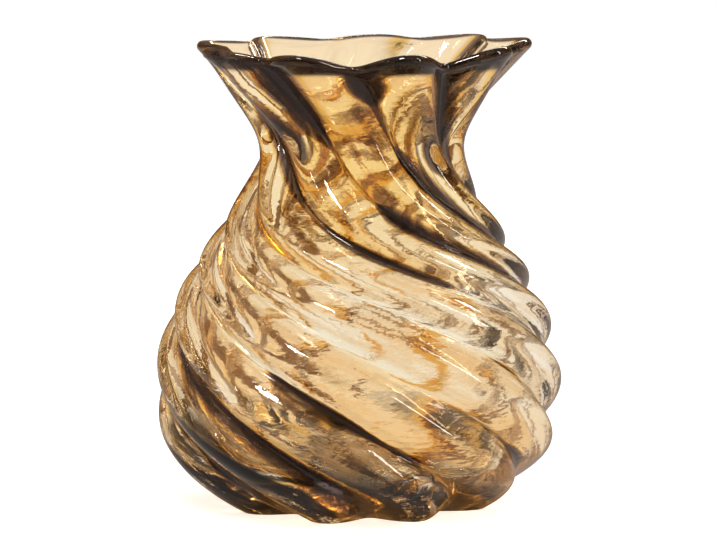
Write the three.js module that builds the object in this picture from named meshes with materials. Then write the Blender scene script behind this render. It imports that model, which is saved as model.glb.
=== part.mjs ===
// A hand-blown vase of amber glass with nine swirling ribs. It has a thick foot, a round belly,
// a narrow neck and a wide, wavy mouth.
//
// The real vase is one piece of glass. Here it is built as six bands of that glass, one above the
// other, which meet face to face at level seams: foot, belly, shoulder, neck, flare and rim.
//
// Lengths are in millimetres and angles in degrees. The vase stands on z = 0 with its axis on +Z
// and its front towards -Y. A surface is a stack of rings, and a ring has one point on each of the
// columns, which climb the vase along the ribs.

import * as THREE from "three";

// Heights and radii of the outside, measured on the crests of the ribs
const footRadius = 60;
const bellyRadius = 90;
const bellyHeight = 54.5;
const shoulderHeight = 110;
const neckRadius = 45.6;
const neckHeight = 157.5;
const lipRadius = 74.6;
const lipHeight = 201.5;

// How far the outline leans on to each of those places before it curves away from it
const heelReach = 31.5;
const heelAngle = 29;
const bellyHoldBelow = 20;
const bellyHoldAbove = 43.8;
const neckHoldBelow = 23.1;
const neckHoldAbove = 9.8;
const flareReach = 31.6;
const flareAngle = 38;

// Depth of the valleys between the ribs
const ribCount = 9;
const ribDepthHeel = 14;
const ribDepthBelly = 9.5;
const ribDepthShoulder = 7.2;
const ribDepthNeck = 6.5;
const ribDepthLip = 13;
const heelRise = 5;
const heelSoftnessRatio = 0.6;
const outsideSoftnessRatio = 0.02;
const lipSoftnessRatio = 0.3;
const insideSoftnessRatio = 0.3;

// Swirl of the ribs: the turn that the whole height would make at the body's rate and at the
// lip's rate, a further turn at the shoulder, and a small turn back at the heel
const bodyTwistAngle = 243.8;
const lipTwistAngle = 58.4;
const straightenFrom = 98;
const shoulderTwistAngle = 46;
const shoulderSpan = 23;
const heelTwistAngle = 8;
const heelSpan = 8;
const crestAngleAtLip = 6;

// Glass thickness on the crests, and how much of a rib's depth the inside follows
const wallBelly = 7.5;
const wallNeck = 10;
const wallLip = 5;
const insideFollowRatioBelly = 0.8;
const insideFollowRatioNeck = 0.35;
const insideFollowRatioLip = 0.9;
const floorThickness = 13;
const floorFillet = 16;

// Underside: a flat ring to stand on, round a shallow hollow
const standingRingInside = 38;
const hollowDepth = 2.5;

// The mouth is a little off the axis. Its lip is saddled and tilted, and dips in the valleys in
// front, all by ratios of the height from the neck to the lip.
const leanAtLip = 1.8;
const leanBendRatio = 1.5;
const lipDropRatio = 0.06;
const lipSaddleRatio = 0.02;
const lipTiltRatio = 0.02;
const lipDipRatio = 0.11;
const lipDipAngle = -65;

// Level seams between the bands, as ratios of the way from the belly to the neck and from the
// neck to the lip
const bellySeamRatio = 0.29;
const shoulderSeamRatio = 0.79;
const neckSeamRatio = 0.36;
const flareSeamRatio = 0.68;

// Mesh: columns on each rib, and rings of each band
const columnsPerRib = 8;
const footRings = 8;
const bellyRings = 8;
const shoulderRings = 9;
const neckRings = 6;
const flareRings = 3;
const rimRings = 3;
const lipRings = 4;
const undersideRings = 3;
const floorRings = 3;

const footSeam = floorThickness + floorFillet;
const bellySeam = THREE.MathUtils.lerp(bellyHeight, neckHeight, bellySeamRatio);
const shoulderSeam = THREE.MathUtils.lerp(bellyHeight, neckHeight, shoulderSeamRatio);
const neckSeam = THREE.MathUtils.lerp(neckHeight, lipHeight, neckSeamRatio);
const flareSeam = THREE.MathUtils.lerp(neckHeight, lipHeight, flareSeamRatio);

const columns = ribCount * columnsPerRib;
const radians = THREE.MathUtils.degToRad;

// The crest outline in three curves: x of a curve's point is the radius, y is the height.
const heelSlope = radians(heelAngle);
const flareLean = radians(flareAngle);
const outline = [
  new THREE.CubicBezierCurve(
    new THREE.Vector2(footRadius, 0),
    new THREE.Vector2(
      footRadius + heelReach * Math.cos(heelSlope),
      heelReach * Math.sin(heelSlope),
    ),
    new THREE.Vector2(bellyRadius, bellyHeight - bellyHoldBelow),
    new THREE.Vector2(bellyRadius, bellyHeight),
  ),
  new THREE.CubicBezierCurve(
    new THREE.Vector2(bellyRadius, bellyHeight),
    new THREE.Vector2(bellyRadius, bellyHeight + bellyHoldAbove),
    new THREE.Vector2(neckRadius, neckHeight - neckHoldBelow),
    new THREE.Vector2(neckRadius, neckHeight),
  ),
  new THREE.CubicBezierCurve(
    new THREE.Vector2(neckRadius, neckHeight),
    new THREE.Vector2(neckRadius, neckHeight + neckHoldAbove),
    new THREE.Vector2(
      lipRadius - flareReach * Math.sin(flareLean),
      lipHeight - flareReach * Math.cos(flareLean),
    ),
    new THREE.Vector2(lipRadius, lipHeight),
  ),
];

// Radius of the crests at a height: the curve that spans the height is halved until it fits.
function crestRadius(z) {
  const curve = outline.find((piece) => z <= piece.v3.y) ?? outline.at(-1);
  let low = 0;
  let high = 1;
  for (let step = 0; step < 40; step += 1) {
    const middle = (low + high) / 2;
    if (curve.getPoint(middle).y < z) {
      low = middle;
    } else {
      high = middle;
    }
  }
  return curve.getPoint((low + high) / 2).x;
}

// A value that goes smoothly from one station to the next; a station is [height, value].
function between(z, stations) {
  const last = stations.length - 1;
  if (z >= stations[last][0]) {
    return stations[last][1];
  }
  const above = Math.max(1, stations.findIndex(([height]) => height > z));
  const [lowHeight, lowValue] = stations[above - 1];
  const [highHeight, highValue] = stations[above];
  const share = THREE.MathUtils.smoothstep(z, lowHeight, highHeight);
  return THREE.MathUtils.lerp(lowValue, highValue, share);
}

// Depth of a valley below its crests
function ribDepth(z) {
  const depth = between(z, [
    [bellyHeight, ribDepthBelly],
    [shoulderHeight, ribDepthShoulder],
    [neckHeight, ribDepthNeck],
    [lipHeight, ribDepthLip],
  ]);
  return depth + (ribDepthHeel - ribDepthBelly) * Math.exp(-z / heelRise);
}

// The valleys are rounder at the heel and at the lip.
function valleySoftness(z) {
  const softness = between(z, [
    [neckHeight, outsideSoftnessRatio],
    [lipHeight, lipSoftnessRatio],
  ]);
  return softness + (heelSoftnessRatio - outsideSoftnessRatio) * Math.exp(-z / heelRise);
}

// How far a rib has fallen from its crest, 0, to its valley, 1; the angle runs once round per rib.
function ribFall(angle, softness) {
  const arch = Math.abs(Math.cos(angle / 2));
  const valley = Math.sqrt(softness);
  return 1 - (Math.hypot(arch, valley) - valley) / (Math.hypot(1, valley) - valley);
}

// Degrees that the ribs have turned between the table and a height
function turned(z) {
  const straightening = Math.max(0, z - straightenFrom) ** 3 / (lipHeight - straightenFrom) ** 2;
  const slowing = ((bodyTwistAngle - lipTwistAngle) * straightening) / 3;
  const body = (bodyTwistAngle * z - slowing) / lipHeight;
  const shoulder = (shoulderTwistAngle * Math.tanh((z - shoulderHeight) / shoulderSpan)) / 2;
  return body + shoulder + heelTwistAngle * Math.exp(-z / heelSpan);
}

// Angle round the axis of a column at a height
function columnAngle(column, z) {
  const swirl = crestAngleAtLip + turned(lipHeight) - turned(z);
  return radians(swirl + (360 * column) / columns);
}

// Angle round a rib, from one crest to the next, of a column
function ribAngle(column) {
  return (2 * Math.PI * column) / columnsPerRib;
}

function outerRadius(column, z) {
  return crestRadius(z) - ribDepth(z) * ribFall(ribAngle(column), valleySoftness(z));
}

// Thickness of the glass at a column, measured level
function wall(column, z) {
  const onCrest = between(z, [
    [bellyHeight, wallBelly],
    [neckHeight, wallNeck],
    [lipHeight, wallLip],
  ]);
  const followed = between(z, [
    [bellyHeight, insideFollowRatioBelly],
    [neckHeight, insideFollowRatioNeck],
    [lipHeight, insideFollowRatioLip],
  ]);
  const outside = ribFall(ribAngle(column), valleySoftness(z));
  const inside = ribFall(ribAngle(column), insideSoftnessRatio);
  return onCrest - ribDepth(z) * (outside - followed * inside);
}

// The corner between the floor and the wall inside, as a quarter of an ellipse
function filletInset(z) {
  const share = THREE.MathUtils.clamp((footSeam - z) / floorFillet, 0, 1);
  return floorFillet * (1 - Math.sqrt(1 - share * share));
}

// A point at a radius on a column, moved sideways with the lean of the mouth
function place(radius, column, z, height = z) {
  const angle = columnAngle(column, z);
  const lean = leanAtLip * (z / lipHeight) ** leanBendRatio;
  return [radius * Math.cos(angle) + lean, radius * Math.sin(angle), height];
}

function ring(pointOnColumn) {
  return Array.from({ length: columns }, (_, column) => pointOnColumn(column));
}

function outerRing(z) {
  return ring((column) => place(outerRadius(column, z), column, z));
}

function innerRing(z) {
  return ring((column) => {
    const radius = outerRadius(column, z) - wall(column, z) - filletInset(z);
    return place(radius, column, z);
  });
}

// Heights from one to another, in equal steps or, with a power above 1, closer at the start
function heights(from, to, steps, power = 1) {
  const list = [];
  for (let step = 0; step <= steps; step += 1) {
    list.push(from + (to - from) * (step / steps) ** power);
  }
  return list;
}

// A closed mesh through a stack of rings. A stack that starts and ends with a single point is
// closed by it, and any other stack closes on its own first ring.
function skin(rings) {
  const points = [];
  const starts = rings.map((items) => {
    const start = points.length / 3;
    items.forEach((point) => points.push(...point));
    return start;
  });
  const vertex = (row, column) => starts[row] + (column % rings[row].length);
  const distance = (a, b) => {
    const from = new THREE.Vector3().fromArray(points, 3 * a);
    return from.distanceTo(new THREE.Vector3().fromArray(points, 3 * b));
  };
  const faces = [];
  const addBand = (low, high) => {
    for (let column = 0; column < columns; column += 1) {
      const a = vertex(low, column);
      const b = vertex(low, column + 1);
      const c = vertex(high, column + 1);
      const d = vertex(high, column);
      if (a === b) {
        faces.push(a, c, d);
      } else if (c === d) {
        faces.push(a, b, c);
      } else if (distance(a, c) <= distance(b, d)) {
        faces.push(a, b, c, a, c, d);
      } else {
        faces.push(a, b, d, b, c, d);
      }
    }
  };
  const closesOnPoints = rings[0].length === 1;
  for (let row = 1; row < rings.length; row += 1) {
    addBand(row - 1, row);
  }
  if (!closesOnPoints) {
    addBand(rings.length - 1, 0);
  }
  const geometry = new THREE.BufferGeometry();
  geometry.setAttribute("position", new THREE.Float32BufferAttribute(points, 3));
  geometry.setIndex(faces);
  geometry.computeVertexNormals();
  return geometry;
}

// A band between two level seams: up the outside and down the inside
function bandGeometry(from, to, steps) {
  const levels = heights(from, to, steps);
  return skin([...levels.map(outerRing), ...levels.toReversed().map(innerRing)]);
}

// The foot: the hollow underside, the heel and outside, then the fillet and floor inside
function footGeometry() {
  const underside = heights(0, 1, undersideRings).slice(1).map((share) => {
    const height = hollowDepth * (1 - share * share);
    return ring((column) => place(standingRingInside * share, column, 0, height));
  });
  const outside = heights(0, footSeam, footRings, 2).map(outerRing);
  const inside = heights(floorThickness, footSeam, footRings, 2).toReversed().map(innerRing);
  const floor = heights(1, 0, floorRings).slice(1, -1).map((share) => {
    return ring((column) => {
      const z = floorThickness;
      const radius = outerRadius(column, z) - wall(column, z) - filletInset(z);
      return place(radius * share, column, z);
    });
  });
  const centreBelow = [[0, 0, hollowDepth]];
  const centreInside = [[0, 0, floorThickness]];
  return skin([centreBelow, ...underside, ...outside, ...inside, ...floor, centreInside]);
}

// Height of the waved lip above the level that the outline gives it
function lipLift(column) {
  const angle = columnAngle(column, lipHeight);
  const saddle = lipSaddleRatio * Math.cos(2 * angle) + lipTiltRatio * Math.cos(angle);
  const dip = lipDipRatio * Math.max(0, Math.cos(angle - radians(lipDipAngle)));
  const fall = ribFall(ribAngle(column), lipSoftnessRatio);
  return (lipHeight - neckHeight) * (saddle - lipDropRatio - dip * fall);
}

// A point of the rim. Share runs from the seam, 0, to the lip, 1, and depth from the outside, 0,
// to the inside, 1. The wall turns from level to square on the flare, so the lip lies square too.
function rimPoint(column, share, depth, bulge = 0) {
  const z = THREE.MathUtils.lerp(flareSeam, lipHeight, share);
  const slope = flareLean * share;
  const into = depth * wall(column, z);
  const radius = outerRadius(column, z) - into * Math.cos(slope) + bulge * Math.sin(slope);
  const rise = into * Math.sin(slope) + bulge * Math.cos(slope) + lipLift(column) * share * share;
  return place(radius, column, z, z + rise);
}

function rimGeometry() {
  const shares = heights(0, 1, rimRings);
  const outside = shares.map((share) => ring((column) => rimPoint(column, share, 0)));
  const inside = shares.toReversed().map((share) => ring((column) => rimPoint(column, share, 1)));
  const lip = heights(0, 1, lipRings).slice(1, -1).map((share) => {
    const angle = Math.PI * share;
    return ring((column) => {
      const bulge = (wall(column, lipHeight) / 2) * Math.sin(angle);
      return rimPoint(column, 1, (1 - Math.cos(angle)) / 2, bulge);
    });
  });
  return skin([...outside, ...lip, ...inside]);
}

function addBandMesh(vase, name, color, geometry) {
  const glass = new THREE.MeshStandardMaterial({ color, roughness: 0.04, metalness: 0 });
  const mesh = new THREE.Mesh(geometry, glass);
  mesh.name = name;
  vase.add(mesh);
}

// The same amber glass looks darker where more of it lies behind the surface.
const vase = new THREE.Group();
addBandMesh(vase, "foot", 0x5a3212, footGeometry());
addBandMesh(vase, "belly", 0xe3bd82, bandGeometry(footSeam, bellySeam, bellyRings));
addBandMesh(vase, "shoulder", 0xcf9646, bandGeometry(bellySeam, shoulderSeam, shoulderRings));
addBandMesh(vase, "neck", 0xb5731f, bandGeometry(shoulderSeam, neckSeam, neckRings));
addBandMesh(vase, "flare", 0xc48c3b, bandGeometry(neckSeam, flareSeam, flareRings));
addBandMesh(vase, "rim", 0x4a2a12, rimGeometry());

export default vase;
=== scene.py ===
"""A hand-blown vase of amber glass with nine swirling ribs, on a pale floor in soft light."""

import math
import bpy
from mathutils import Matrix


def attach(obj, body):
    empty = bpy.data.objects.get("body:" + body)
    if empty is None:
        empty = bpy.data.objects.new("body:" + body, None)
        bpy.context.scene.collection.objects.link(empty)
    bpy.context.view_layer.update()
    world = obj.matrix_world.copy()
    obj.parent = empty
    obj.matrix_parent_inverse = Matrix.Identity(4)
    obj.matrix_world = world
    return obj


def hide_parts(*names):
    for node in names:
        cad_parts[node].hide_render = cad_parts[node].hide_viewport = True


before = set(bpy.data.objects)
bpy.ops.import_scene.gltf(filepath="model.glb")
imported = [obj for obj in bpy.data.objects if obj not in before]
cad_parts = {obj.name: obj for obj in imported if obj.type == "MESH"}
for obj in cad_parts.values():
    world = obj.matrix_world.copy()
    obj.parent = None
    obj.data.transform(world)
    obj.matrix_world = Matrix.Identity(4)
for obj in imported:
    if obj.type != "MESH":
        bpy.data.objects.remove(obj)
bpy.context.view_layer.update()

from types import SimpleNamespace

import bpy
from bpy.props import FloatProperty, FloatVectorProperty, IntProperty, PointerProperty
from mathutils import Vector

BANDS = ("foot", "belly", "shoulder", "neck", "flare", "rim")
WHITE = (1.0, 1.0, 1.0)

# The outline's strip: its width, how far inside its ends a ray still meets it, in metres, and
# the steps along each of its curves
STRIP_WIDTH = 0.002
STRIP_END = 1e-5
STRIP_STEPS = 400

# Points closer than this are one, in metres: along the outline, and on the glass
OUTLINE_WELD = 1e-6
GLASS_WELD = 5e-6

# Rows of the mesh on each stretch of the surface, and how much closer they are at the heel
ROWS = {
    "underside": 8,
    "standing_ring": 4,
    "outside": 132,
    "lip_edge": 12,
    "inside": 94,
    "fillet": 14,
    "floor": 10,
}
HEEL_CROWDING = 1.2

# The mouth leans as this power of the height
LEAN_POWER = 1.5

# How far apart in the noise two seeds lie, and the height in metres where the swellings are full
SEED_STEP = 7.3
SWELLINGS_FULL = 0.02

# Attributes that the tree needs and the finished glass doesn't
WORKING_NAMES = ("round", "bulge", "inset", "to_ring", "to_axis", "raised")

bl_info = {
    "name": "Ribbed Glass Vase",
    "version": (1, 0, 0),
    "blender": (4, 5, 0),
    "location": "View3D > Sidebar > Vase",
    "description": "Makes a blown glass vase with swirling ribs and its stage",
    "category": "Add Mesh",
}


def length(name, millimetres, description):
    return FloatProperty(
        name=name,
        description=description,
        default=millimetres / 1000,
        precision=5,
        subtype="DISTANCE",
        unit="LENGTH",
    )


def turn(name, degrees, description):
    return FloatProperty(
        name=name,
        description=description,
        default=math.radians(degrees),
        subtype="ANGLE",
        unit="ROTATION",
    )


def ratio(name, value, description):
    return FloatProperty(name=name, description=description, default=value, precision=4)


def count(name, value, description):
    return IntProperty(name=name, description=description, default=value, min=2)


def glass_color(name, value, description):
    return FloatVectorProperty(
        name=name, description=description, default=value, subtype="COLOR", min=0, max=1
    )


class VaseShape(bpy.types.PropertyGroup):
    """Sizes of the vase. Heights and radii are those of the crests of the ribs."""

    foot_radius: length("Foot Radius", 60, "Crest radius where the heel leaves the table")
    belly_radius: length("Belly Radius", 90, "Crest radius at the widest place")
    belly_height: length("Belly Height", 54.5, "Height of the widest place")
    shoulder_height: length("Shoulder Height", 110, "Height where the ribs turn fastest")
    neck_radius: length("Neck Radius", 45.6, "Crest radius at the narrowest place")
    neck_height: length("Neck Height", 157.5, "Height of the narrowest place")
    lip_radius: length("Lip Radius", 74.6, "Crest radius of the lip")
    lip_height: length("Lip Height", 201.5, "Height of the lip before its waves")
    heel_reach: length("Heel Reach", 31.5, "How far the outline leans along the heel")
    heel_angle: turn("Heel Angle", 29, "Slope of the outline at the table")
    belly_hold_below: length("Belly Hold Below", 20, "How far the outline stays upright below")
    belly_hold_above: length("Belly Hold Above", 43.8, "How far the outline stays upright above")
    neck_hold_below: length("Neck Hold Below", 23.1, "How far the neck stays upright below")
    neck_hold_above: length("Neck Hold Above", 9.8, "How far the neck stays upright above")
    flare_reach: length("Flare Reach", 31.6, "How far the outline leans along the flare")
    flare_angle: turn("Flare Angle", 38, "Lean of the flare from upright")
    rib_count: count("Ribs", 9, "Number of ribs round the vase")
    rib_depth_heel: length("Rib Depth at Heel", 14, "Depth of the valleys at the table")
    rib_depth_belly: length("Rib Depth at Belly", 9.5, "Depth of the valleys at the belly")
    rib_depth_shoulder: length("Rib Depth at Shoulder", 7.2, "Depth at the shoulder")
    rib_depth_neck: length("Rib Depth at Neck", 6.5, "Depth of the valleys at the neck")
    rib_depth_lip: length("Rib Depth at Lip", 13, "Depth of the valleys at the lip")
    heel_rise: length("Heel Rise", 5, "Height over which the heel's valleys fade")
    softness_heel: ratio("Valley Softness at Heel", 0.6, "Roundness of the valleys at the table")
    softness_body: ratio("Valley Softness of Body", 0.02, "Roundness of the valleys up to the neck")
    softness_lip: ratio("Valley Softness at Lip", 0.3, "Roundness of the valleys at the lip")
    softness_inside: ratio("Valley Softness Inside", 0.3, "Roundness of the ribs inside")
    body_twist: turn("Body Twist", 243.8, "Turn of the whole height at the body's rate")
    lip_twist: turn("Lip Twist", 58.4, "Turn of the whole height at the lip's rate")
    straighten_from: length("Straighten From", 98, "Height where the ribs begin to straighten")
    shoulder_twist: turn("Shoulder Twist", 46, "Further turn at the shoulder")
    shoulder_span: length("Shoulder Span", 23, "Height over which the shoulder turns")
    heel_twist: turn("Heel Twist", 8, "Turn back at the heel")
    heel_span: length("Heel Span", 8, "Height over which the heel turns back")
    crest_angle: turn("Crest at Lip", 6, "Where the first crest meets the lip")
    wall_belly: length("Wall at Belly", 7.5, "Glass thickness on the crests of the belly")
    wall_neck: length("Wall at Neck", 10, "Glass thickness on the crests of the neck")
    wall_lip: length("Wall at Lip", 5, "Glass thickness on the crests of the lip")
    follow_belly: ratio("Inside Follows Below", 0.8, "Share of a rib's depth seen inside, below")
    follow_neck: ratio("Inside Follows at Neck", 0.35, "Share of a rib's depth inside the neck")
    follow_lip: ratio("Inside Follows at Lip", 0.9, "Share of a rib's depth seen inside, at lip")
    floor_thickness: length("Floor Thickness", 13, "Glass under the inside")
    floor_fillet: length("Floor Fillet", 16, "Rounding between the floor and the wall inside")
    ring_inside: length("Standing Ring Inside", 38, "Inner radius of the flat ring it stands on")
    hollow_depth: length("Hollow Depth", 2.5, "Depth of the hollow under the foot")
    lean_at_lip: length("Lean at Lip", 1.8, "How far the mouth is off the axis")
    lip_drop: ratio("Lip Drop", 0.06, "How far the lip lies below its level, in flare heights")
    lip_saddle: ratio("Lip Saddle", 0.02, "Rise of the lip's sides")
    lip_tilt: ratio("Lip Tilt", 0.02, "Rise of the lip's right side")
    lip_dip: ratio("Lip Dip", 0.11, "How far the lip dips in the valleys in front")
    lip_dip_angle: turn("Lip Dip Angle", -65, "Side on which the lip dips most")
    flare_seam: ratio("Flare Seam", 0.68, "Where the wall begins to turn square to the flare")
    crowding: ratio("Crowding", 0.45, "How much closer the mesh is in the valleys")
    columns: count("Columns", 324, "Columns of the mesh round the vase")
    unevenness: length("Unevenness", 0.9, "How far the blown surface swells and sinks")
    unevenness_span: length("Unevenness Span", 38, "Width of one swelling")
    seed: IntProperty(name="Seed", description="Pattern of the swellings", default=3)


class GlassLook(bpy.types.PropertyGroup):
    """Colour and surface of the amber glass, with its painted shade and painted highlights."""

    tint: glass_color("Tint", (0.84, 0.66, 0.42), "Colour that thick glass lets through")
    depth: FloatProperty(
        name="Depth of Colour",
        description="How fast the glass takes light away, for each metre",
        default=10,
    )
    # The foot's tint is partly the deeper colour of thick glass and partly painted shade
    foot_glass_and_shade_tint: glass_color("Foot Tint", (0.3, 0.2, 0.12), "Colour of the foot")
    low_tint: glass_color("Low Tint", (1.0, 0.8, 0.51), "Colour just above the foot")
    belly_tint: glass_color("Belly Tint", (0.93, 0.75, 0.52), "Colour of the belly")
    neck_tint: glass_color("Neck Tint", (1.0, 0.84, 0.52), "Colour of the neck")
    mouth_tint: glass_color("Mouth Tint", (0.97, 0.77, 0.5), "Colour of the mouth")
    # Painted shade: the near black of the lip and the valleys, and the brown beside it
    deep_shade_tint: glass_color("Deep Tint", (0.016, 0.009, 0.009), "Colour of the lip and the valleys")
    shade_edge_tint: glass_color("Edge Tint", (0.12, 0.055, 0.03), "Colour beside the dark valleys")
    # Painted glints: the golden fringes beside the painted shade
    painted_glint_tint: glass_color("Gold Tint", (0.8, 0.42, 0.06), "Colour of the fringes beside the darks")
    # Painted shade: the thin brown lines beside the valleys
    shade_line_tint: glass_color("Line Tint", (0.7, 0.48, 0.25), "Colour of the thin lines by the valleys")
    # Painted reflections: the clear pale places of the heel
    painted_reflection_tint: glass_color("Window Tint", (0.95, 0.93, 0.9), "Colour of the clear places of the heel")
    # Painted shade: the near black underside of the heel
    underside_shade_tint: glass_color("Under Tint", (0.0016, 0.001, 0.001), "Colour of the heel's underside")
    # Painted shade: the torn brown patches
    shade_patch_tint: glass_color("Patch Tint", (0.3, 0.17, 0.08), "Colour of the torn patches")
    # Painted shade: the darker left of the belly
    left_shade_tint: glass_color("Side Tint", (0.91, 0.71, 0.42), "Colour of the left of the belly")
    # The pale colour of thin glass, also the painted light of the back and valleys and the painted
    # highlights of the cream streaks
    thin_glass_and_highlight_tint: glass_color("Thin Tint", (1.0, 0.96, 0.85), "Colour of the thin glass of the belly")
    # How much of the valleys' painted shade shows at the back
    back_valley_shade: ratio("Back Valleys", 0.22, "How dark the valleys are at the back")
    ior: FloatProperty(name="IOR", description="Refraction of the glass", default=1.5)
    seed: IntProperty(name="Seed", description="Pattern of the dark valleys", default=679)
    ripple: length("Ripple", 0.05, "Height of the fine ripple that blowing leaves")


class StageLook(bpy.types.PropertyGroup):
    """Camera, lamps and floor."""

    distance: length("Camera Distance", 1600, "From the camera to the middle of the vase")
    elevation: turn("Camera Elevation", 7.4, "Angle at which the camera looks down")
    aim_height: length("Aim Height", 102.4, "Height that the camera looks at")
    focal_length: FloatProperty(
        name="Focal Length",
        description="Focal length of the camera's lens in millimetres",
        default=182,
        unit="CAMERA",
    )
    floor_size: length("Floor Size", 9000, "Width of the floor")
    ambient: ratio("Ambient", 0.5, "Strength of the soft light from all round")
    panels: count("Panels", 8, "Pale panels round the vase, seen in and through the glass")
    gap: ratio("Gap", -0.84, "Width of the dark gaps between them, from -1, none, to 1, all dark")
    dark: glass_color("Dark", (0.24, 0.13, 0.05), "Colour of the gaps")
    # The floor seen through the glass is painted dark under the vase, a painted shadow, fading out
    # between these two radii
    painted_shadow_core: length("Near Dark", 5, "The floor seen through the glass is dark up to here")
    painted_shadow_edge: length("Far Pale", 50, "The floor seen through the glass is pale from here")


class Wire:
    """An output socket. Arithmetic on it adds Math nodes to its tree."""

    def __init__(self, maker, socket):
        self.maker = maker
        self.socket = socket

    def other(self, name):
        """Another output of the same node."""
        return Wire(self.maker, self.socket.node.outputs[name])

    def __add__(self, value):
        return self.maker.math("ADD", self, value)

    def __radd__(self, value):
        return self.maker.math("ADD", value, self)

    def __sub__(self, value):
        return self.maker.math("SUBTRACT", self, value)

    def __rsub__(self, value):
        return self.maker.math("SUBTRACT", value, self)

    def __mul__(self, value):
        return self.maker.math("MULTIPLY", self, value)

    def __rmul__(self, value):
        return self.maker.math("MULTIPLY", value, self)

    def __truediv__(self, value):
        return self.maker.math("DIVIDE", self, value)

    def __rtruediv__(self, value):
        return self.maker.math("DIVIDE", value, self)

    def __pow__(self, value):
        return self.maker.math("POWER", self, value)


class Maker:
    """Adds nodes to one tree."""

    def __init__(self, tree):
        self.tree = tree

    def node(self, kind, settings=None, sockets=None, output=0):
        """A node of a type, with its settings made first, then its values and links."""
        made = self.tree.nodes.new(kind)
        for name, value in (settings or {}).items():
            if name == "stops":
                self.set_stops(made.color_ramp.elements, value)
            else:
                setattr(made, name, value)
        for name, value in (sockets or {}).items():
            for item in value if isinstance(value, list) else [value]:
                if isinstance(item, Wire):
                    self.tree.links.new(item.socket, made.inputs[name])
                else:
                    made.inputs[name].default_value = item
        return Wire(self, made.outputs[output]) if made.outputs else None

    @staticmethod
    def set_stops(elements, stops):
        while len(elements) < len(stops):
            elements.new(1)
        for element, (position, color) in zip(elements, stops):
            element.position = position
            element.color = color

    def math(self, operation, *values):
        return self.node("ShaderNodeMath", {"operation": operation}, dict(enumerate(values)))

    def maximum(self, first, second):
        return self.math("MAXIMUM", first, second)

    def vector(self, x=0.0, y=0.0, z=0.0):
        return self.node("ShaderNodeCombineXYZ", None, {"X": x, "Y": y, "Z": z})

    def parts(self, vector):
        """The X of a vector. Its Y and Z are the node's other outputs."""
        return self.node("ShaderNodeSeparateXYZ", None, {"Vector": vector})

    def rising(self, value, low, high):
        """0 below low and 1 above high, smoothly."""
        return self.node(
            "ShaderNodeMapRange",
            {"interpolation_type": "SMOOTHSTEP"},
            {"Value": value, "From Min": low, "From Max": high},
        )

    def falling(self, value, low, high):
        """1 below low and 0 above high, smoothly."""
        return 1 - self.rising(value, low, high)

    def noise(self, place, scale, detail, seed=None):
        settings = {} if seed is None else {"noise_dimensions": "4D"}
        seeded = {} if seed is None else {"W": seed}
        sockets = {"Vector": place, "Scale": scale, "Detail": detail, **seeded}
        return self.node("ShaderNodeTexNoise", settings, sockets)

    def store(self, geometry, name, value):
        """A number kept on each point of a mesh."""
        return self.node(
            "GeometryNodeStoreNamedAttribute",
            {"domain": "POINT", "data_type": "FLOAT"},
            {"Geometry": geometry, "Name": name, "Value": value},
        )

    def kept(self, name):
        """A number that the tree kept on the mesh, for a material."""
        return self.node("ShaderNodeAttribute", {"attribute_name": name}, None, "Fac")

    def ramp(self, value, stops):
        """A value through stops, each a position with a grey number or a colour."""
        colors = [(at, opaque(color)) for at, color in stops]
        return self.node("ShaderNodeValToRGB", {"stops": colors}, {"Fac": value})

    def mixed(self, share, first, second):
        """The first colour, and as much of the second as the share says."""
        sockets = {"Factor": share, 6: opaque(first), 7: opaque(second)}
        return self.node("ShaderNodeMix", {"data_type": "RGBA"}, sockets, 2)


def opaque(color):
    """What a colour socket takes, from a link, a grey number or a colour of three numbers."""
    if isinstance(color, Wire):
        return color
    if isinstance(color, float):
        return (color, color, color, 1.0)
    return (*color, 1.0)


# The shape of the vase, as a tree of nodes


def outline_strip(make, size):
    """A narrow strip that stands on the three curves of the crest outline."""
    flare_lean_across = size.flare_reach * make.math("SINE", size.flare_angle)
    flare_lean_up = size.flare_reach * make.math("COSINE", size.flare_angle)
    heel_out = size.heel_reach * make.math("COSINE", size.heel_angle)
    heel_up = size.heel_reach * make.math("SINE", size.heel_angle)
    belly = make.vector(size.belly_radius, 0.0, size.belly_height)
    neck = make.vector(size.neck_radius, 0.0, size.neck_height)
    curves = [
        (
            make.vector(size.foot_radius),
            make.vector(size.foot_radius + heel_out, 0.0, heel_up),
            make.vector(size.belly_radius, 0.0, size.belly_height - size.belly_hold_below),
            belly,
        ),
        (
            belly,
            make.vector(size.belly_radius, 0.0, size.belly_height + size.belly_hold_above),
            make.vector(size.neck_radius, 0.0, size.neck_height - size.neck_hold_below),
            neck,
        ),
        (
            neck,
            make.vector(size.neck_radius, 0.0, size.neck_height + size.neck_hold_above),
            make.vector(
                size.lip_radius - flare_lean_across, 0.0, size.lip_height - flare_lean_up
            ),
            make.vector(size.lip_radius, 0.0, size.lip_height),
        ),
    ]
    segments = [
        make.node(
            "GeometryNodeCurvePrimitiveBezierSegment",
            {"mode": "POSITION"},
            {
                "Resolution": STRIP_STEPS,
                "Start": start,
                "Start Handle": leaving,
                "End Handle": arriving,
                "End": end,
            },
        )
        for start, leaving, arriving, end in curves
    ]
    joined = make.node("GeometryNodeJoinGeometry", None, {"Geometry": segments})
    line = make.node("GeometryNodeCurveToMesh", None, {"Curve": joined})
    chain = make.node(
        "GeometryNodeMergeByDistance", None, {"Geometry": line, "Distance": OUTLINE_WELD}
    )
    return make.node(
        "GeometryNodeExtrudeMesh",
        {"mode": "EDGES"},
        {"Mesh": chain, "Offset": make.vector(y=1.0), "Offset Scale": STRIP_WIDTH},
    )


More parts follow.
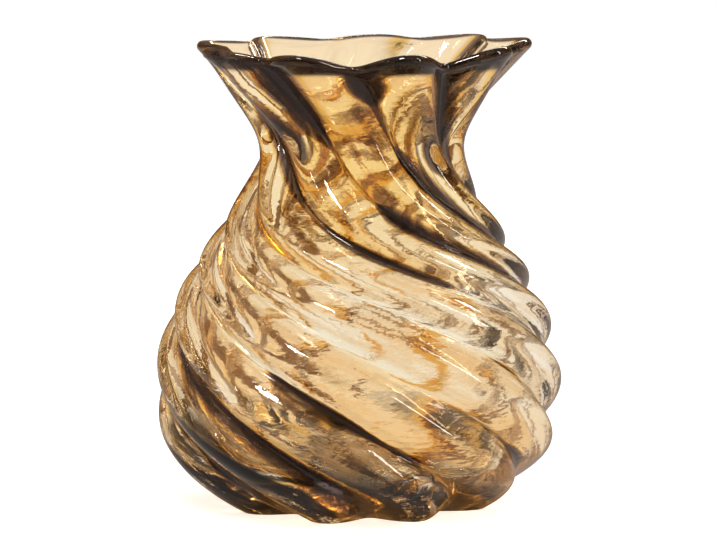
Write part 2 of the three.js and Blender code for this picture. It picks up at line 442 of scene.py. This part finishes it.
def crest_radius(make, size, height):
    """Radius of the crests at a height: how far a level ray from the axis runs to the strip."""
    below_top = make.math("MINIMUM", height, size.lip_height - STRIP_END)
    inside = make.maximum(below_top, STRIP_END)
    return make.node(
        "GeometryNodeRaycast",
        None,
        {
            "Target Geometry": outline_strip(make, size),
            "Source Position": make.vector(0.0, STRIP_WIDTH / 2, inside),
            "Ray Direction": (1.0, 0.0, 0.0),
            "Ray Length": 1.0,
        },
        "Hit Distance",
    )


def between(make, height, stations):
    """A value that goes smoothly from one station, a height and a value, to the next."""
    value = stations[0][1]
    for (low, before), (high, after) in zip(stations, stations[1:]):
        value = value + make.rising(height, low, high) * (after - before)
    return value


def fading(make, height, span):
    """1 at the table, falling away over a height."""
    return make.math("EXPONENT", height / span * -1)


def rib_fall(make, arch, softness):
    """How far a rib has fallen from its crest, 0, to its valley, 1."""
    valley = make.math("SQRT", softness)

    def above_valley(reach):
        return make.math("SQRT", reach * reach + softness) - valley

    return 1 - above_valley(arch) / above_valley(1.0)


def turned(make, size, height):
    """Angle that the ribs have turned between the table and a height."""
    over = make.maximum(0.0, height - size.straighten_from)
    straightening = over**3 / (size.lip_height - size.straighten_from) ** 2 / 3
    slowed = (size.body_twist - size.lip_twist) * straightening
    body = (size.body_twist * height - slowed) / size.lip_height
    from_shoulder = (height - size.shoulder_height) / size.shoulder_span
    shoulder = size.shoulder_twist * make.math("TANH", from_shoulder) / 2
    return body + shoulder + size.heel_twist * fading(make, height, size.heel_span)


def sheet(make, size, rows, values):
    """A grid, once round the vase. It carries what the surface formula reads as attributes:
    its height on the outline, its depth in the wall, and so on, each from its share of the way
    along the sheet."""
    grid = make.node(
        "GeometryNodeMeshGrid",
        None,
        {
            "Size X": 1.0,
            "Size Y": 1.0,
            "Vertices X": size.columns + 1,
            "Vertices Y": rows + 1,
        },
        "Mesh",
    )
    place = make.parts(make.node("GeometryNodeInputPosition"))
    share = place.other("Y") + 0.5
    for name, value in {"round": place + 0.5, **values(share)}.items():
        grid = make.store(grid, name, value)
    return grid


def sheets(make, size, foot_seam):
    """The whole surface in the order of a path: from under the centre of the foot, out and up
    to the lip, and down inside to the centre of the floor."""
    lip = size.lip_height

    def underside(share):
        return {
            "to_ring": 1.0,
            "to_axis": 1 - share,
            "raised": size.hollow_depth * (1 - share * share),
        }

    def standing_ring(share):
        return {"to_ring": 1 - share}

    def outside(share):
        return {"height": lip * share**HEEL_CROWDING}

    def lip_edge(share):
        angle = share * math.pi
        return {
            "height": lip + 0.0,
            "depth": (1 - make.math("COSINE", angle)) / 2,
            "bulge": make.math("SINE", angle),
        }

    def inside(share):
        return {"height": lip + (foot_seam - lip) * share, "depth": 1.0}

    def fillet(share):
        angle = share * (math.pi / 2)
        return {
            "height": foot_seam - size.floor_fillet * make.math("SINE", angle),
            "depth": 1.0,
            "inset": size.floor_fillet * (1 - make.math("COSINE", angle)),
        }

    def floor(share):
        return {
            "height": size.floor_thickness + 0.0,
            "depth": 1.0,
            "inset": size.floor_fillet + 0.0,
            "to_axis": share,
        }

    stretches = (underside, standing_ring, outside, lip_edge, inside, fillet, floor)
    made = [sheet(make, size, ROWS[values.__name__], values) for values in stretches]
    return make.node("GeometryNodeJoinGeometry", None, {"Geometry": made})


def surface_point(make, size, flare_seam):
    """Where a point of the sheets lies on the glass, from its attributes, and the numbers that
    the material reads there: how deep in a valley, and which way round along the ribs."""

    def attribute(name):
        return make.node(
            "GeometryNodeInputNamedAttribute", {"data_type": "FLOAT"}, {"Name": name}, "Attribute"
        )

    height = attribute("height")
    ribs = attribute("round") * size.rib_count * math.tau
    along_rib = ribs + size.crowding * make.math("SINE", ribs)
    arch = make.math("ABSOLUTE", make.math("COSINE", along_rib / 2))
    at_lip = size.crest_angle + along_rib / size.rib_count
    twist = turned(make, size, size.lip_height) - turned(make, size, height)
    angle = at_lip + twist

    heel = fading(make, height, size.heel_rise)
    depth = between(
        make,
        height,
        [
            (size.belly_height, size.rib_depth_belly),
            (size.shoulder_height, size.rib_depth_shoulder),
            (size.neck_height, size.rib_depth_neck),
            (size.lip_height, size.rib_depth_lip),
        ],
    )
    depth = depth + (size.rib_depth_heel - size.rib_depth_belly) * heel
    softness = between(
        make,
        height,
        [
            (size.neck_height, size.softness_body),
            (size.lip_height, size.softness_lip),
        ],
    )
    softness = softness + (size.softness_heel - size.softness_body) * heel
    fall = rib_fall(make, arch, softness)
    outer = crest_radius(make, size, height) - depth * fall

    on_crest = between(
        make,
        height,
        [
            (size.belly_height, size.wall_belly),
            (size.neck_height, size.wall_neck),
            (size.lip_height, size.wall_lip),
        ],
    )
    followed = between(
        make,
        height,
        [
            (size.belly_height, size.follow_belly),
            (size.neck_height, size.follow_neck),
            (size.lip_height, size.follow_lip),
        ],
    )
    inner_fall = rib_fall(make, arch, size.softness_inside)
    wall = on_crest - depth * (fall - followed * inner_fall)

    up_rim = (height - flare_seam) / (size.lip_height - flare_seam)
    up_rim = make.maximum(0.0, make.math("MINIMUM", 1.0, up_rim))
    slope = size.flare_angle * up_rim
    level = make.math("COSINE", slope)
    upright = make.math("SINE", slope)
    into = attribute("depth") * wall
    bulge = attribute("bulge") * wall / 2
    radius = outer - into * level + bulge * upright - attribute("inset")

    saddle = size.lip_saddle * make.math("COSINE", at_lip * 2)
    saddle = saddle + size.lip_tilt * make.math("COSINE", at_lip)
    towards_dips = make.maximum(0.0, make.math("COSINE", at_lip - size.lip_dip_angle))
    dip = size.lip_dip * towards_dips * rib_fall(make, arch, size.softness_lip)
    lift = (saddle - size.lip_drop - dip) * (size.lip_height - size.neck_height)
    lift = lift * up_rim * up_rim
    rise = into * upright + bulge * level + lift + attribute("raised")

    radius = radius + (size.ring_inside - radius) * attribute("to_ring")
    radius = radius * (1 - attribute("to_axis"))
    lean = size.lean_at_lip * (height / size.lip_height) ** LEAN_POWER
    point = make.vector(
        radius * make.math("COSINE", angle) + lean,
        radius * make.math("SINE", angle),
        height + rise,
    )
    seen = {
        "valley": fall * (1 - attribute("to_ring")) * (1 - attribute("to_axis")),
        "rib_x": make.math("COSINE", along_rib / size.rib_count),
        "rib_y": make.math("SINE", along_rib / size.rib_count),
    }
    return point, seen


def swelled(make, size, surface):
    """The surface with the slow swellings of blown glass, which fade where it stands."""
    place = make.node("GeometryNodeInputPosition")
    noise = make.noise(place, 1 / size.unevenness_span, 1.0, size.seed * SEED_STEP)
    height = make.parts(place).other("Z")
    fade = make.node("ShaderNodeMapRange", None, {"Value": height, "From Max": SWELLINGS_FULL})
    swell = (noise - 0.5) * size.unevenness * fade
    normal = make.node("GeometryNodeInputNormal")
    offset = make.node(
        "ShaderNodeVectorMath", {"operation": "SCALE"}, {"Vector": normal, "Scale": swell}
    )
    return make.node("GeometryNodeSetPosition", None, {"Geometry": surface, "Offset": offset})


def vase_tree(shape, material):
    """The tree that makes the vase, with an input for each of its sizes."""
    tree = bpy.data.node_groups.new("ribbed vase", "GeometryNodeTree")
    tree.interface.new_socket("Geometry", in_out="OUTPUT", socket_type="NodeSocketGeometry")
    identifiers = {}
    for key in VaseShape.__annotations__:
        value = getattr(shape, key)
        kind = "NodeSocketInt" if isinstance(value, int) else "NodeSocketFloat"
        label = VaseShape.bl_rna.properties[key].name
        socket = tree.interface.new_socket(label, in_out="INPUT", socket_type=kind)
        socket.default_value = value
        identifiers[key] = socket.identifier
    make = Maker(tree)
    inputs = make.node("NodeGroupInput").socket.node.outputs
    size = SimpleNamespace(
        **{key: Wire(make, socket) for key, socket in zip(VaseShape.__annotations__, inputs)}
    )
    foot_seam = size.floor_thickness + size.floor_fillet
    flare_seam = size.neck_height + (size.lip_height - size.neck_height) * size.flare_seam
    surface = sheets(make, size, foot_seam)
    point, seen = surface_point(make, size, flare_seam)
    for name, value in seen.items():
        surface = make.store(surface, name, value)
    surface = make.node(
        "GeometryNodeSetPosition", None, {"Geometry": surface, "Position": point}
    )
    surface = make.node(
        "GeometryNodeMergeByDistance", None, {"Geometry": surface, "Distance": GLASS_WELD}
    )
    surface = swelled(make, size, surface)
    normal = make.parts(make.node("GeometryNodeInputNormal"))
    surface = make.store(surface, "down", normal.other("Z") * -1)
    surface = make.node("GeometryNodeSetShadeSmooth", None, {"Geometry": surface})
    surface = make.node("GeometryNodeRealizeInstances", None, {"Geometry": surface})
    surface = make.node(
        "GeometryNodeSetMaterial", None, {"Geometry": surface, "Material": material}
    )
    make.node("NodeGroupOutput", None, {"Geometry": surface})
    return tree, identifiers


def mesh_from_tree(name, tree, identifiers, values, material):
    """A plain mesh object from what a tree makes."""
    maker = bpy.data.objects.new(name + "_maker", bpy.data.meshes.new(name + "_maker"))
    bpy.context.scene.collection.objects.link(maker)
    modifier = maker.modifiers.new("vase", "NODES")
    modifier.node_group = tree
    for key, identifier in identifiers.items():
        modifier[identifier] = getattr(values, key)
    evaluated = maker.evaluated_get(bpy.context.evaluated_depsgraph_get())
    mesh = bpy.data.meshes.new_from_object(evaluated)
    bpy.data.objects.remove(maker)
    for attribute in WORKING_NAMES:
        mesh.attributes.remove(mesh.attributes[attribute])
    mesh.materials.clear()
    mesh.materials.append(material)
    piece = bpy.data.objects.new(name, mesh)
    bpy.context.scene.collection.objects.link(piece)
    return piece


# The colours of the glass

# Heights as shares of the lip's height, each with a tint of the glass; the dark foot tint is partly
# painted shade
TINT_HEIGHTS = (
    (0.03, "foot_glass_and_shade_tint"),
    (0.1, "low_tint"),
    (0.32, "belly_tint"),
    (0.45, "belly_tint"),
    (0.7, "neck_tint"),
    (0.86, "neck_tint"),
    (0.97, "mouth_tint"),
)

# Heights, each with how thin and pale the glass is there; the same share gates the belly's painted
# highlights, painted light and lines of painted shade
THIN_GLASS = ((0.2, 0.0), (0.32, 1.0), (0.5, 1.0), (0.6, 0.0))

# Heights, each with how much of a rib the painted shade of its valley may cover
DARK_WIDTH = (
    (0.03, 0.7),
    (0.12, 0.5),
    (0.25, 0.4),
    (0.36, 0.1),
    (0.48, 0.05),
    (0.52, 0.3),
    (0.6, 0.6),
    (0.8, 0.6),
    (0.9, 0.75),
)

# Where the sides of the vase begin and end, in metres: back to front, and left of the middle
FRONT_BLEND = 0.02
LEFT_SIDE = (-0.075, -0.015)
FAR_LEFT = (-0.08, -0.068)

# Noise, each with a scale and a detail. The fine ones are drawn out level.
DRAWN_OUT = (0.3, 0.3, 1.0)
FINE = (480.0, 0.6)
GRAIN = (1500.0, 1.0)
RIPPLE = (170.0, 2.0)
WANDER = (18.0, 1.0)
WANDER_SEED_STEP = 3.1

# Streaks along the ribs: their steps round and up, and how much the fine noise jags them
STREAKS = (1.0, 2.0)
STREAKS_ROUND = 8
STREAKS_UP = 45
JAG_BY_FINE = 0.6
JAG_BY_GRAIN = 0.7

# How much of the fine noise the relief of the ripple takes
FINE_IN_RELIEF = 1.5

# How pale and how streaky the glass is at most, and how much less so on the left: the pale back is
# painted light, the cream streaks are painted highlights, the pale valleys are partly painted light,
# and the lines are painted shade
VALLEY_LESS_LEFT = 0.75
BACK_PALE = 0.9
BACK_LESS_LEFT = 0.7
CREAM = 0.7
CREAM_LESS_LEFT = 0.4
LINES = 0.6

# Ranges over which something comes in, from none to full. Streaks are noise round 0.5.
CREAM_STREAKS = (0.5, 0.53)
LINE_STREAKS = (0.42, 0.52)
LINE_BESIDE = (0.35, 0.5)
LINE_INSIDE = (0.5, 0.65)
PALE_VALLEY = (0.35, 0.75)
# The torn patches are painted shade
PATCH_LIMIT = 0.32
MORE_PATCHES = 0.035
PATCH_EDGE = (0.01, 0.025)
# The golden fringes are painted glints
FRINGE_EDGE = (0.02, 0.06)
FRINGE_HEIGHTS = (0.45, 0.6)
TO_NECK = (0.5, 0.65)
ABOVE_BODY = (0.75, 0.95)
ABOVE_BACK = (0.75, 0.9)

# The heel: which way it faces, how high its painted shade reaches, and its clear places, which are
# painted reflections
FACES_DOWN = (-0.1, 0.1)
UNDER_REACH = (0.1, 0.2)
UNDER_SLANT = 1.1
UNDER_BACK = 0.06
CLEAR_CREST = (0.1, 0.3)
CLEAR_HEIGHTS = (0.06, 0.09)
CLEAR_STREAKS = (0.49, 0.51)

# The valleys' painted shade: its solid middle, least and further widths, and how torn its edge is
DARK_CORE = 0.32
WIDTH_LEAST = 0.2
WIDTH_FAR_LEFT = 0.3
TORN_BY = 0.1
DARK_LEAST = (0.06, 0.2)
WANDERING = (0.47, 0.62)
LEFT_BEGINS = (0.15, 0.25)
LEFT_ENDS = (0.38, 0.46)

# The contour's painted shade, and the brown and golden edges of all painted shade; the golden edges are
# painted glints
CONTOUR = (0.72, 0.96)
CONTOUR_WIDER = 0.4
CONTOUR_HEIGHTS = (0.5, 0.8)
GOLD_DARK = (0.0, 0.25)
EDGE_DARK = (0.25, 0.55)
DEEP_DARK = (0.5, 1.0)

# The painted shade of the lip, in metres below its level, and where its edge shows at the back
LIP_DARK = (0.009, 0.006)
LIP_EDGE = (0.0, 0.1)

# The light that passes through the vase onto the floor
SHADOW_COLOR = (0.85, 0.8, 0.73)


def empty_tree(owner):
    """A maker for the nodes of a new material or world."""
    owner.use_nodes = True
    owner.node_tree.nodes.clear()
    return Maker(owner.node_tree)


def places_on_glass(make, look, shape):
    """The numbers that the colours are made from, at each point of the glass."""
    place = make.node("ShaderNodeTexCoord", None, None, "Object")
    across = make.parts(place)
    drawn_out = make.node(
        "ShaderNodeVectorMath", {"operation": "MULTIPLY"}, {0: place, 1: DRAWN_OUT}
    )
    height = make.kept("height")
    up = height / shape.lip_height
    front = make.falling(across.other("Y"), -FRONT_BLEND, FRONT_BLEND)
    at_back = (1 - front) * make.falling(up, *ABOVE_BACK)
    fine = make.noise(drawn_out, *FINE)
    grain = make.noise(drawn_out, *GRAIN)
    jagged = (fine - 0.5) * JAG_BY_FINE + (grain - 0.5) * JAG_BY_GRAIN
    along_ribs = make.vector(
        make.kept("rib_x") * STREAKS_ROUND + jagged,
        make.kept("rib_y") * STREAKS_ROUND + jagged,
        height * STREAKS_UP,
    )
    return SimpleNamespace(
        place=place,
        across=across,
        height=height,
        up=up,
        depth=make.kept("depth"),
        valley=make.kept("valley"),
        down=make.kept("down"),
        front=front,
        # The left of the vase, painted darker and given less painted light
        left=make.falling(across, *LEFT_SIDE),
        # How much of the painted shade and shade lines shows: all in front, less at the back
        shown=front + at_back * look.back_valley_shade,
        thin=make.ramp(up, THIN_GLASS),
        fine=fine,
        streak=make.noise(along_ribs, *STREAKS),
    )


def wall_color(make, look, at):
    """The colour by height, paler in the valleys, partly for the thin glass and partly as painted
    light, and paler at the back as painted light. The left is painted darker, as shade.
    """
    tint = make.ramp(at.up, [(height, getattr(look, name)) for height, name in TINT_HEIGHTS])
    # Paler valleys in the belly: partly the thin glass, partly painted light, less on the left
    valley_pale_and_lit = make.rising(at.valley, *PALE_VALLEY) * (1 - at.left * VALLEY_LESS_LEFT)
    # Painted light: the back of the belly is paler, less so on the left
    at_back = (1 - at.front) * (BACK_PALE - at.left * BACK_LESS_LEFT)
    # Painted shade: the left of the belly is darker
    color = make.mixed(at.left * at.thin, tint, look.left_shade_tint)
    return make.mixed(make.maximum(valley_pale_and_lit, at_back) * at.thin, color, look.thin_glass_and_highlight_tint)


def with_streaks(make, look, at, color):
    """Adds the cream streaks, which are painted highlights, the thin lines and the torn patches, which
    are painted shade, and the golden fringes, which are painted glints.
    """
    # Painted highlights: cream streaks along the ribs, fewer on the left
    cream = make.rising(at.streak, *CREAM_STREAKS) * at.thin
    cream = cream * (CREAM - at.left * CREAM_LESS_LEFT)
    color = make.mixed(cream, color, look.thin_glass_and_highlight_tint)
    # Painted shade: thin brown lines beside the valleys
    line = make.rising(at.valley, *LINE_BESIDE) * make.falling(at.valley, *LINE_INSIDE)
    line = line * make.rising(at.streak, *LINE_STREAKS) * at.thin * at.shown * LINES
    color = make.mixed(line, color, look.shade_line_tint)
    limit = make.rising(at.up, *TO_NECK) * MORE_PATCHES + PATCH_LIMIT
    on_body = make.falling(at.up, *ABOVE_BODY)
    # Painted glints: golden fringes round the torn patches
    glint_fringe = make.falling(at.streak, *[limit + edge for edge in FRINGE_EDGE])
    glint_fringe = glint_fringe * make.rising(at.up, *FRINGE_HEIGHTS) * on_body
    color = make.mixed(glint_fringe, color, look.painted_glint_tint)
    # Painted shade: torn brown patches on the body
    patches = make.falling(at.streak, *[limit + edge for edge in PATCH_EDGE]) * on_body
    return make.mixed(patches, color, look.shade_patch_tint)


def with_heel(make, look, at, color):
    """Adds the painted shade of the heel's near black underside, and the clear places on its crests,
    which are painted reflections.
    """
    # Painted shade: near black where the heel faces down, up to a height
    reach = at.up + at.front * at.across * UNDER_SLANT + (1 - at.front) * UNDER_BACK
    under = make.rising(at.down, *FACES_DOWN) * make.falling(reach, *UNDER_REACH)
    color = make.mixed(under * (1 - at.depth), color, look.underside_shade_tint)
    # Painted reflections: clear pale places on the heel's crests
    clear = make.falling(at.valley, *CLEAR_CREST) * make.falling(at.up, *CLEAR_HEIGHTS)
    clear = clear * make.rising(at.streak, *CLEAR_STREAKS)
    return make.mixed(clear, color, look.painted_reflection_tint)


def dark_valleys(make, look, at):
    """How much painted shade the valleys take. It comes and goes along a rib, with a torn edge."""
    wander = make.noise(at.place, *WANDER, look.seed * WANDER_SEED_STEP)
    # The valleys' painted shade is wider on the far left of the belly
    wider_shade_at_left = make.falling(at.across, *FAR_LEFT) * make.rising(at.up, *LEFT_BEGINS)
    wider_shade_at_left = wider_shade_at_left * make.falling(at.up, *LEFT_ENDS)
    width = make.ramp(at.up, DARK_WIDTH) * (make.rising(wander, *WANDERING) + WIDTH_LEAST)
    width = width + wider_shade_at_left * WIDTH_FAR_LEFT
    torn = at.valley + (at.fine - 0.5) * TORN_BY
    dark = make.rising(torn, 1 - width, 1 - width * DARK_CORE)
    return dark * at.shown * make.rising(width, *DARK_LEAST)


def dark_contour(make, at):
    """How much painted shade the glass takes where it turns away, wider at the neck than at the belly.
    """
    turned_away = make.node("ShaderNodeLayerWeight", None, {"Blend": 0.5}, "Facing")
    begins, full = CONTOUR
    wider = make.rising(at.up, *CONTOUR_HEIGHTS) * CONTOUR_WIDER
    return make.rising(turned_away, begins - wider, full)


def with_darks(make, look, shape, at, color):
    """Adds the painted shade of the valleys and the contour, with brown edges and golden edges that are
    painted glints, and the painted shade of the lip.
    """
    dark = make.maximum(dark_valleys(make, look, at), dark_contour(make, at))
    # Golden painted glints at the edges of the painted shade, then brown, then near black
    color = make.mixed(make.rising(dark, *GOLD_DARK), color, look.painted_glint_tint)
    color = make.mixed(make.rising(dark, *EDGE_DARK), color, look.shade_edge_tint)
    color = make.mixed(make.rising(dark, *DEEP_DARK), color, look.deep_shade_tint)
    # Painted shade: a near black band at the lip, in front and on its edge at the back
    in_lip = make.rising(at.height, *[shape.lip_height - below for below in LIP_DARK])
    on_edge = make.rising(at.depth * (1 - at.depth), *LIP_EDGE)
    return make.mixed(in_lip * make.maximum(at.front, on_edge), color, look.deep_shade_tint)


def amber_glass(look, shape):
    """Clear amber glass. Its colour deepens at the neck and the foot, at the foot partly as painted
    shade. Painted shade darkens the heel's underside, the lip, the valleys, the left and where the
    surface turns away, and painted highlights, glints and reflections lighten the belly and the heel.
    All but the shade where the surface turns away is fixed to the vase."""
    material = bpy.data.materials.new("amber_glass")
    make = empty_tree(material)
    at = places_on_glass(make, look, shape)
    color = wall_color(make, look, at)
    color = with_streaks(make, look, at, color)
    color = with_heel(make, look, at, color)
    color = with_darks(make, look, shape, at, color)
    relief = make.noise(at.place, *RIPPLE) + at.fine * FINE_IN_RELIEF + at.streak
    normal = make.node(
        "ShaderNodeBump", None, {"Strength": 1.0, "Distance": look.ripple, "Height": relief}
    )
    glass = make.node(
        "ShaderNodeBsdfPrincipled",
        None,
        {
            "Base Color": color,
            "Roughness": 0.0,
            "IOR": look.ior,
            "Transmission Weight": 1.0,
            "Normal": normal,
        },
    )
    shade = make.node("ShaderNodeBsdfTransparent", None, {"Color": opaque(SHADOW_COLOR)})
    is_shadow = make.node("ShaderNodeLightPath", None, None, "Is Shadow Ray")
    surface = make.node("ShaderNodeMixShader", None, {0: is_shadow, 1: glass, 2: shade})
    volume = make.node(
        "ShaderNodeVolumeAbsorption", None, {"Color": opaque(look.tint), "Density": look.depth}
    )
    make.node("ShaderNodeOutputMaterial", None, {"Surface": surface, "Volume": volume})
    return material


# The stage

# Where the pale panels blend into the gaps, and how much wider the gaps are on the left
PANEL_BLEND = 0.12
WIDER_ON_LEFT = 0.15

# How high the panels reach and where the pale ceiling begins, as the Z of a direction
PANEL_TOPS = (0.5, 0.75)
CEILING = (0.8, 0.9)

# What mirrored rays see: how pale the sky and the floor are, and from where. Under the vase the
# mirrored floor is painted dark, a painted shadow.
SKY_SEEN_IN = (0.3, 0.8)
SKY_PALE = 0.3
FLOOR_SEEN_IN = (0.06, 0.08)
FLOOR_PALE = 0.4

# The floor's paint, how much it glows to the camera, and the lamps' warm white
FLOOR_COLOR = (0.9, 0.9, 0.9)
FLOOR_GLOW = 0.55
LAMP_COLOR = (1.0, 0.95, 0.87)

# How often light may turn in the glass, and how often it may be mirrored
GLASS_BOUNCES = 32
MIRROR_BOUNCES = 12

# How far the camera sees, in metres
CAMERA_REACH = 100

# Each lamp's name, place and size in metres, and power in watts
LAMPS = (
    ("left_strip", (-1.1, -0.7, 0.9), (0.03, 0.2), 1),
    ("right_strip", (1.2, -0.5, 0.7), (0.1, 1.2), 6),
    ("top_box", (-0.2, -0.6, 1.4), (0.3, 0.15), 11),
    ("back_strip", (0.5, 1.2, 1.1), (1.2, 0.14), 9),
)


def panels(make, stage, across, along):
    """1 on the pale panels that stand round the vase and 0 in the dark gaps between them."""
    angle = make.math("ARCTAN2", along, across)
    round_vase = make.math("COSINE", angle * stage.panels)
    gap = stage.gap - WIDER_ON_LEFT * make.math("COSINE", angle)
    return make.rising(round_vase, gap - PANEL_BLEND, gap + PANEL_BLEND)


def studio_for_glass(make, stage, seen_in, seen_through):
    """The studio as the glass shows it: 1 for the camera's own rays, 1 for those that come by
    the glass, and the colour that these meet. It is dark but for the two pale shares given,
    of what is mirrored in the glass and what is seen through it."""
    camera = make.node("ShaderNodeLightPath", None, None, "Is Camera Ray")
    through = camera.other("Is Transmission Ray")
    color = make.mixed(
        through,
        make.mixed(seen_in, stage.dark, WHITE),
        make.mixed(seen_through, stage.dark, WHITE),
    )
    return camera, make.maximum(camera.other("Is Glossy Ray"), through), color


def background(make, color, strength):
    sockets = {"Color": opaque(color), "Strength": strength}
    return make.node("ShaderNodeBackground", None, sockets)


def emission(make, color, strength):
    sockets = {"Color": opaque(color), "Strength": strength}
    return make.node("ShaderNodeEmission", None, sockets)


def pale_world(stage):
    """Soft even light, white to the camera, with panels for the glass to show."""
    world = bpy.data.worlds.new("studio")
    make = empty_tree(world)
    across = make.parts(make.node("ShaderNodeTexCoord", None, None, "Generated"))
    along = across.other("Y")
    up = across.other("Z")
    shown = panels(make, stage, across, along) * make.falling(up, *PANEL_TOPS)
    seen_through = make.maximum(shown, make.rising(up, *CEILING))
    seen_in = make.rising(up, *SKY_SEEN_IN) * SKY_PALE
    camera, by_glass, color = studio_for_glass(make, stage, seen_in, seen_through)
    dim = background(make, WHITE, stage.ambient)
    studio = background(make, color, 1.0)
    lit = make.node("ShaderNodeMixShader", None, {0: by_glass, 1: dim, 2: studio})
    plain = background(make, WHITE, 1.0)
    shader = make.node("ShaderNodeMixShader", None, {0: camera, 1: lit, 2: plain})
    make.node("ShaderNodeOutputWorld", None, {"Surface": shader})
    bpy.context.scene.world = world


def pale_paint(stage):
    """Matt pale paint for the floor. It keeps the vase's shadow. Seen in and through the glass, it is
    painted dark under the vase, a painted shadow.
    """
    material = bpy.data.materials.new("pale_floor")
    make = empty_tree(material)
    across = make.parts(make.node("ShaderNodeTexCoord", None, None, "Object"))
    along = across.other("Y")
    away = make.math("SQRT", across * across + along * along)
    # Seen through the glass, the floor under the vase is painted dark: a painted shadow
    near = make.rising(away, stage.painted_shadow_core, stage.painted_shadow_edge)
    seen_through = panels(make, stage, across, along) * near
    seen_in = make.rising(away, *FLOOR_SEEN_IN) * FLOOR_PALE
    camera, by_glass, color = studio_for_glass(make, stage, seen_in, seen_through)
    matt = make.node("ShaderNodeBsdfDiffuse", None, {"Color": opaque(FLOOR_COLOR)})
    glow = emission(make, WHITE, camera * FLOOR_GLOW)
    lit = make.node("ShaderNodeAddShader", None, {0: matt, 1: glow})
    studio = emission(make, color, 1.0)
    shader = make.node("ShaderNodeMixShader", None, {0: by_glass, 1: lit, 2: studio})
    make.node("ShaderNodeOutputMaterial", None, {"Surface": shader})
    return material


def pale_floor(stage):
    half = stage.floor_size / 2
    corners = [(-half, -half, 0), (half, -half, 0), (half, half, 0), (-half, half, 0)]
    mesh = bpy.data.meshes.new("floor")
    mesh.from_pydata(corners, [], [(0, 1, 2, 3)])
    mesh.materials.append(pale_paint(stage))
    floor = bpy.data.objects.new("floor", mesh)
    bpy.context.scene.collection.objects.link(floor)


def add_lamp(name, place, target, size, power):
    """A soft box that shines at a target."""
    data = bpy.data.lights.new(name, "AREA")
    data.shape = "RECTANGLE"
    data.size, data.size_y = size
    data.energy = power
    data.color = LAMP_COLOR
    made = bpy.data.objects.new(name, data)
    made.location = place
    made.rotation_euler = (target - Vector(place)).to_track_quat("-Z", "Y").to_euler()
    bpy.context.scene.collection.objects.link(made)


class VASE_OT_glass(bpy.types.Operator):
    """Makes the vase of amber glass"""

    bl_idname = "vase.glass"
    bl_label = "Glass"

    def execute(self, context):
        shape = context.scene.vase_shape
        material = amber_glass(context.scene.vase_glass, shape)
        tree, identifiers = vase_tree(shape, material)
        vase = mesh_from_tree("glass_vase", tree, identifiers, shape, material)
        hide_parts(*BANDS)
        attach(vase, "root")
        return {"FINISHED"}


class VASE_OT_stage(bpy.types.Operator):
    """Makes the floor, the light and the camera"""

    bl_idname = "vase.stage"
    bl_label = "Stage"

    def execute(self, context):
        stage = context.scene.vase_stage
        scene = context.scene
        scene.view_settings.view_transform = "Standard"
        scene.cycles.max_bounces = GLASS_BOUNCES
        scene.cycles.transmission_bounces = GLASS_BOUNCES
        scene.cycles.glossy_bounces = MIRROR_BOUNCES
        pale_world(stage)
        pale_floor(stage)
        middle = Vector((0.0, 0.0, stage.aim_height))
        for name, place, size, power in LAMPS:
            add_lamp(name, place, middle, size, power)
        data = bpy.data.cameras.new("camera")
        data.lens = stage.focal_length
        data.clip_end = CAMERA_REACH
        camera = bpy.data.objects.new("camera", data)
        back = Vector((0.0, -math.cos(stage.elevation), math.sin(stage.elevation)))
        camera.location = middle + back * stage.distance
        camera.rotation_euler = (-back).to_track_quat("-Z", "Y").to_euler()
        scene.collection.objects.link(camera)
        scene.camera = camera
        return {"FINISHED"}


class VASE_PT_panel(bpy.types.Panel):
    """Lists the steps and the sizes"""

    bl_label = "Ribbed Glass Vase"
    bl_idname = "VASE_PT_panel"
    bl_space_type = "VIEW_3D"
    bl_region_type = "UI"
    bl_category = "Vase"

    def draw(self, context):
        for operator in OPERATORS:
            self.layout.operator(operator.bl_idname)
        for group in (
            context.scene.vase_shape,
            context.scene.vase_glass,
            context.scene.vase_stage,
        ):
            box = self.layout.box()
            for key in group.__annotations__:
                box.prop(group, key)


OPERATORS = (VASE_OT_glass, VASE_OT_stage)
CLASSES = (VaseShape, GlassLook, StageLook, *OPERATORS, VASE_PT_panel)


def register():
    for item in CLASSES:
        bpy.utils.register_class(item)
    bpy.types.Scene.vase_shape = PointerProperty(type=VaseShape)
    bpy.types.Scene.vase_glass = PointerProperty(type=GlassLook)
    bpy.types.Scene.vase_stage = PointerProperty(type=StageLook)


def unregister():
    del bpy.types.Scene.vase_stage
    del bpy.types.Scene.vase_glass
    del bpy.types.Scene.vase_shape
    for item in reversed(CLASSES):
        bpy.utils.unregister_class(item)


def main():
    register()
    bpy.ops.vase.glass()
    bpy.ops.vase.stage()


if __name__ == "__main__":
    main()
